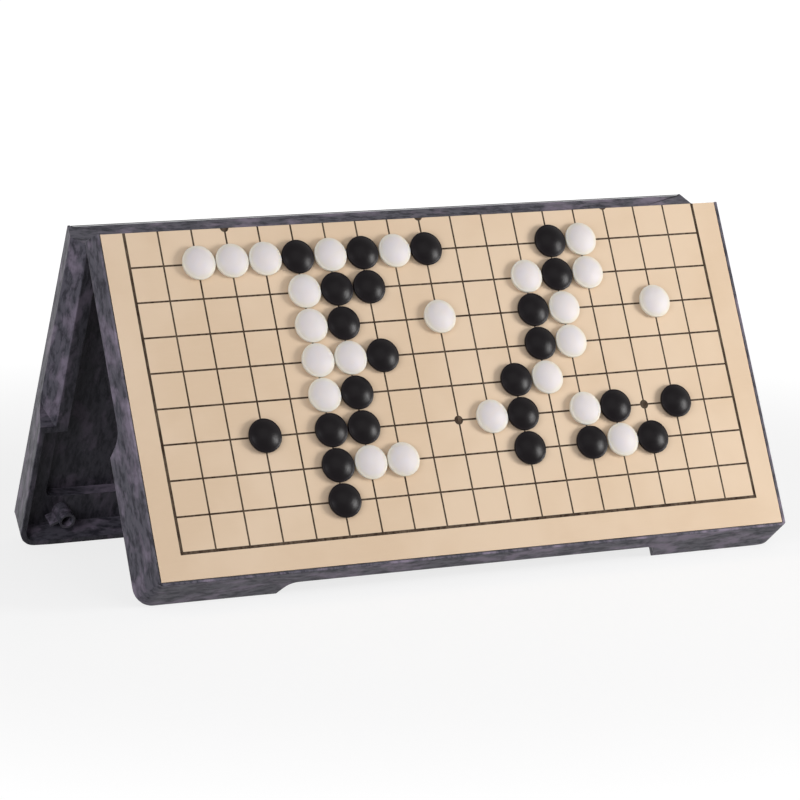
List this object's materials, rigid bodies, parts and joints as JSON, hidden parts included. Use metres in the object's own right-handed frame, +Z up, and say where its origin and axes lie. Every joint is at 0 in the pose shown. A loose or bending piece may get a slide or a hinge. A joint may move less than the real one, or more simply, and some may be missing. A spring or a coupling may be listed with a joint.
{
  "type": "folding go set",
  "caption": "Folding magnetic go board that stands as a tent on its two hinged tray halves, with a game in progress on its front face.",
  "frame": {"origin": "on the table, midway between the two ends and between the two halves as the board stands", "axes": "+X along the hinge to the right of the face with the stones, -Y towards the viewer of that face, +Z up"},
  "size_m": [0.3672, 0.1912, 0.1759],
  "materials": {
    "tray_plastic": "grey moulded plastic with a dark streaky grain",
    "playing_surface": "printed matt surface, warm beige with fine brown lines",
    "steel_sheet": "thin bare tinplate",
    "hinge_pin": "drawn steel wire",
    "white_stone": "glossy, slightly translucent white",
    "black_stone": "satin black"
  },
  "bodies": {
    "front_half": {"front_tray": "tray_plastic", "front_steel_sheet": "steel_sheet", "front_playing_surface": "playing_surface", "hinge_pin_left": "hinge_pin"},
    "rear_half": {"rear_tray": "tray_plastic", "rear_steel_sheet": "steel_sheet", "rear_playing_surface": "playing_surface", "hinge_pin_right": "hinge_pin"},
    "white_stone_01": {"white_stone_01": "white_stone"},
    "white_stone_02": {"white_stone_02": "white_stone"},
    "white_stone_03": {"white_stone_03": "white_stone"},
    "white_stone_04": {"white_stone_04": "white_stone"},
    "white_stone_05": {"white_stone_05": "white_stone"},
    "white_stone_06": {"white_stone_06": "white_stone"},
    "white_stone_07": {"white_stone_07": "white_stone"},
    "white_stone_08": {"white_stone_08": "white_stone"},
    "white_stone_09": {"white_stone_09": "white_stone"},
    "white_stone_10": {"white_stone_10": "white_stone"},
    "white_stone_11": {"white_stone_11": "white_stone"},
    "white_stone_12": {"white_stone_12": "white_stone"},
    "white_stone_13": {"white_stone_13": "white_stone"},
    "white_stone_14": {"white_stone_14": "white_stone"},
    "white_stone_15": {"white_stone_15": "white_stone"},
    "white_stone_16": {"white_stone_16": "white_stone"},
    "white_stone_17": {"white_stone_17": "white_stone"},
    "white_stone_18": {"white_stone_18": "white_stone"},
    "white_stone_19": {"white_stone_19": "white_stone"},
    "white_stone_20": {"white_stone_20": "white_stone"},
    "white_stone_21": {"white_stone_21": "white_stone"},
    "white_stone_22": {"white_stone_22": "white_stone"},
    "white_stone_23": {"white_stone_23": "white_stone"},
    "black_stone_01": {"black_stone_01": "black_stone"},
    "black_stone_02": {"black_stone_02": "black_stone"},
    "black_stone_03": {"black_stone_03": "black_stone"},
    "black_stone_04": {"black_stone_04": "black_stone"},
    "black_stone_05": {"black_stone_05": "black_stone"},
    "black_stone_06": {"black_stone_06": "black_stone"},
    "black_stone_07": {"black_stone_07": "black_stone"},
    "black_stone_08": {"black_stone_08": "black_stone"},
    "black_stone_09": {"black_stone_09": "black_stone"},
    "black_stone_10": {"black_stone_10": "black_stone"},
    "black_stone_11": {"black_stone_11": "black_stone"},
    "black_stone_12": {"black_stone_12": "black_stone"},
    "black_stone_13": {"black_stone_13": "black_stone"},
    "black_stone_14": {"black_stone_14": "black_stone"},
    "black_stone_15": {"black_stone_15": "black_stone"},
    "black_stone_16": {"black_stone_16": "black_stone"},
    "black_stone_17": {"black_stone_17": "black_stone"},
    "black_stone_18": {"black_stone_18": "black_stone"},
    "black_stone_19": {"black_stone_19": "black_stone"},
    "black_stone_20": {"black_stone_20": "black_stone"},
    "black_stone_21": {"black_stone_21": "black_stone"},
    "black_stone_22": {"black_stone_22": "black_stone"},
    "black_stone_23": {"black_stone_23": "black_stone"},
    "black_stone_24": {"black_stone_24": "black_stone"}
  },
  "joints": [
    {"name": "fold_hinge", "type": "hinge", "parent": "front_half", "child": "rear_half", "pos_m": [0, 0, 0.16735], "axis": [1, 0, 0], "range_deg": [-49.4, 129.4]},
    {"name": "lift_white_stone_01", "type": "slide", "parent": "front_half", "child": "white_stone_01", "axis": [0, -0.9041, 0.4274], "range_m": [0, 0.012]},
    {"name": "lift_white_stone_02", "type": "slide", "parent": "front_half", "child": "white_stone_02", "axis": [0, -0.9041, 0.4274], "range_m": [0, 0.012]},
    {"name": "lift_white_stone_03", "type": "slide", "parent": "front_half", "child": "white_stone_03", "axis": [0, -0.9041, 0.4274], "range_m": [0, 0.012]},
    {"name": "lift_white_stone_04", "type": "slide", "parent": "front_half", "child": "white_stone_04", "axis": [0, -0.9041, 0.4274], "range_m": [0, 0.012]},
    {"name": "lift_white_stone_05", "type": "slide", "parent": "front_half", "child": "white_stone_05", "axis": [0, -0.9041, 0.4274], "range_m": [0, 0.012]},
    {"name": "lift_white_stone_06", "type": "slide", "parent": "front_half", "child": "white_stone_06", "axis": [0, -0.9041, 0.4274], "range_m": [0, 0.012]},
    {"name": "lift_white_stone_07", "type": "slide", "parent": "front_half", "child": "white_stone_07", "axis": [0, -0.9041, 0.4274], "range_m": [0, 0.012]},
    {"name": "lift_white_stone_08", "type": "slide", "parent": "front_half", "child": "white_stone_08", "axis": [0, -0.9041, 0.4274], "range_m": [0, 0.012]},
    {"name": "lift_white_stone_09", "type": "slide", "parent": "front_half", "child": "white_stone_09", "axis": [0, -0.9041, 0.4274], "range_m": [0, 0.012]},
    {"name": "lift_white_stone_10", "type": "slide", "parent": "front_half", "child": "white_stone_10", "axis": [0, -0.9041, 0.4274], "range_m": [0, 0.012]},
    {"name": "lift_white_stone_11", "type": "slide", "parent": "front_half", "child": "white_stone_11", "axis": [0, -0.9041, 0.4274], "range_m": [0, 0.012]},
    {"name": "lift_white_stone_12", "type": "slide", "parent": "front_half", "child": "white_stone_12", "axis": [0, -0.9041, 0.4274], "range_m": [0, 0.012]},
    {"name": "lift_white_stone_13", "type": "slide", "parent": "front_half", "child": "white_stone_13", "axis": [0, -0.9041, 0.4274], "range_m": [0, 0.012]},
    {"name": "lift_white_stone_14", "type": "slide", "parent": "front_half", "child": "white_stone_14", "axis": [0, -0.9041, 0.4274], "range_m": [0, 0.012]},
    {"name": "lift_white_stone_15", "type": "slide", "parent": "front_half", "child": "white_stone_15", "axis": [0, -0.9041, 0.4274], "range_m": [0, 0.012]},
    {"name": "lift_white_stone_16", "type": "slide", "parent": "front_half", "child": "white_stone_16", "axis": [0, -0.9041, 0.4274], "range_m": [0, 0.012]},
    {"name": "lift_white_stone_17", "type": "slide", "parent": "front_half", "child": "white_stone_17", "axis": [0, -0.9041, 0.4274], "range_m": [0, 0.012]},
    {"name": "lift_white_stone_18", "type": "slide", "parent": "front_half", "child": "white_stone_18", "axis": [0, -0.9041, 0.4274], "range_m": [0, 0.012]},
    {"name": "lift_white_stone_19", "type": "slide", "parent": "front_half", "child": "white_stone_19", "axis": [0, -0.9041, 0.4274], "range_m": [0, 0.012]},
    {"name": "lift_white_stone_20", "type": "slide", "parent": "front_half", "child": "white_stone_20", "axis": [0, -0.9041, 0.4274], "range_m": [0, 0.012]},
    {"name": "lift_white_stone_21", "type": "slide", "parent": "front_half", "child": "white_stone_21", "axis": [0, -0.9041, 0.4274], "range_m": [0, 0.012]},
    {"name": "lift_white_stone_22", "type": "slide", "parent": "front_half", "child": "white_stone_22", "axis": [0, -0.9041, 0.4274], "range_m": [0, 0.012]},
    {"name": "lift_white_stone_23", "type": "slide", "parent": "front_half", "child": "white_stone_23", "axis": [0, -0.9041, 0.4274], "range_m": [0, 0.012]},
    {"name": "lift_black_stone_01", "type": "slide", "parent": "front_half", "child": "black_stone_01", "axis": [0, -0.9041, 0.4274], "range_m": [0, 0.012]},
    {"name": "lift_black_stone_02", "type": "slide", "parent": "front_half", "child": "black_stone_02", "axis": [0, -0.9041, 0.4274], "range_m": [0, 0.012]},
    {"name": "lift_black_stone_03", "type": "slide", "parent": "front_half", "child": "black_stone_03", "axis": [0, -0.9041, 0.4274], "range_m": [0, 0.012]},
    {"name": "lift_black_stone_04", "type": "slide", "parent": "front_half", "child": "black_stone_04", "axis": [0, -0.9041, 0.4274], "range_m": [0, 0.012]},
    {"name": "lift_black_stone_05", "type": "slide", "parent": "front_half", "child": "black_stone_05", "axis": [0, -0.9041, 0.4274], "range_m": [0, 0.012]},
    {"name": "lift_black_stone_06", "type": "slide", "parent": "front_half", "child": "black_stone_06", "axis": [0, -0.9041, 0.4274], "range_m": [0, 0.012]},
    {"name": "lift_black_stone_07", "type": "slide", "parent": "front_half", "child": "black_stone_07", "axis": [0, -0.9041, 0.4274], "range_m": [0, 0.012]},
    {"name": "lift_black_stone_08", "type": "slide", "parent": "front_half", "child": "black_stone_08", "axis": [0, -0.9041, 0.4274], "range_m": [0, 0.012]},
    {"name": "lift_black_stone_09", "type": "slide", "parent": "front_half", "child": "black_stone_09", "axis": [0, -0.9041, 0.4274], "range_m": [0, 0.012]},
    {"name": "lift_black_stone_10", "type": "slide", "parent": "front_half", "child": "black_stone_10", "axis": [0, -0.9041, 0.4274], "range_m": [0, 0.012]},
    {"name": "lift_black_stone_11", "type": "slide", "parent": "front_half", "child": "black_stone_11", "axis": [0, -0.9041, 0.4274], "range_m": [0, 0.012]},
    {"name": "lift_black_stone_12", "type": "slide", "parent": "front_half", "child": "black_stone_12", "axis": [0, -0.9041, 0.4274], "range_m": [0, 0.012]},
    {"name": "lift_black_stone_13", "type": "slide", "parent": "front_half", "child": "black_stone_13", "axis": [0, -0.9041, 0.4274], "range_m": [0, 0.012]},
    {"name": "lift_black_stone_14", "type": "slide", "parent": "front_half", "child": "black_stone_14", "axis": [0, -0.9041, 0.4274], "range_m": [0, 0.012]},
    {"name": "lift_black_stone_15", "type": "slide", "parent": "front_half", "child": "black_stone_15", "axis": [0, -0.9041, 0.4274], "range_m": [0, 0.012]},
    {"name": "lift_black_stone_16", "type": "slide", "parent": "front_half", "child": "black_stone_16", "axis": [0, -0.9041, 0.4274], "range_m": [0, 0.012]},
    {"name": "lift_black_stone_17", "type": "slide", "parent": "front_half", "child": "black_stone_17", "axis": [0, -0.9041, 0.4274], "range_m": [0, 0.012]},
    {"name": "lift_black_stone_18", "type": "slide", "parent": "front_half", "child": "black_stone_18", "axis": [0, -0.9041, 0.4274], "range_m": [0, 0.012]},
    {"name": "lift_black_stone_19", "type": "slide", "parent": "front_half", "child": "black_stone_19", "axis": [0, -0.9041, 0.4274], "range_m": [0, 0.012]},
    {"name": "lift_black_stone_20", "type": "slide", "parent": "front_half", "child": "black_stone_20", "axis": [0, -0.9041, 0.4274], "range_m": [0, 0.012]},
    {"name": "lift_black_stone_21", "type": "slide", "parent": "front_half", "child": "black_stone_21", "axis": [0, -0.9041, 0.4274], "range_m": [0, 0.012]},
    {"name": "lift_black_stone_22", "type": "slide", "parent": "front_half", "child": "black_stone_22", "axis": [0, -0.9041, 0.4274], "range_m": [0, 0.012]},
    {"name": "lift_black_stone_23", "type": "slide", "parent": "front_half", "child": "black_stone_23", "axis": [0, -0.9041, 0.4274], "range_m": [0, 0.012]},
    {"name": "lift_black_stone_24", "type": "slide", "parent": "front_half", "child": "black_stone_24", "axis": [0, -0.9041, 0.4274], "range_m": [0, 0.012]}
  ]
}
